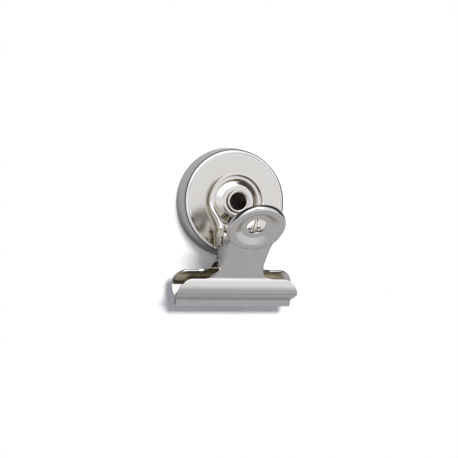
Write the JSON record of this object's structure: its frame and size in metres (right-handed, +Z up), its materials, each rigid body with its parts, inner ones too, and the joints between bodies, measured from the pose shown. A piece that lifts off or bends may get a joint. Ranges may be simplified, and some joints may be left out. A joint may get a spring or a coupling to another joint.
{
  "type": "magnetic letter clip",
  "caption": "Wide sprung letter clip with round finger discs, riveted by its rear handle to a round cup magnet so that it swivels on a steel board.",
  "frame": {"origin": "centre of the magnet's back face, which lies against the board", "axes": "+Y into the board along the magnet's axis, +Z up, +X to the right as seen from the front"},
  "size_m": [0.04, 0.0341, 0.0507],
  "materials": {
    "cup_nickel": "bright nickel plate on drawn steel",
    "ferrite": "ground ferrite, dull dark grey",
    "rivet_nickel": "bright nickel plate on rolled steel",
    "lever_nickel": "satin nickel plate on spring steel",
    "pin_steel": "drawn steel wire, ends riveted",
    "spring_wire": "drawn and plated spring wire"
  },
  "bodies": {
    "magnet": {"magnet_cup": "cup_nickel", "ring_magnet": "ferrite", "hollow_rivet": "rivet_nickel"},
    "clip": {"rear_lever": "lever_nickel", "pivot_pin": "pin_steel", "torsion_spring": "spring_wire"},
    "front": {"front_lever": "lever_nickel"}
  },
  "joints": [
    {"name": "clip_swivel", "type": "hinge", "parent": "magnet", "child": "clip", "pos_m": [0, 0, 0], "axis": [0, 1, 0], "continuous": true},
    {"name": "jaw_hinge", "type": "hinge", "parent": "clip", "child": "front", "pos_m": [0, -0.01374, -0.01264], "axis": [-1, 0, 0], "range_deg": [0, 70], "stiffness_Nm_per_rad": 0.02, "springref_deg": -34.38, "deforming": ["torsion_spring"]}
  ]
}
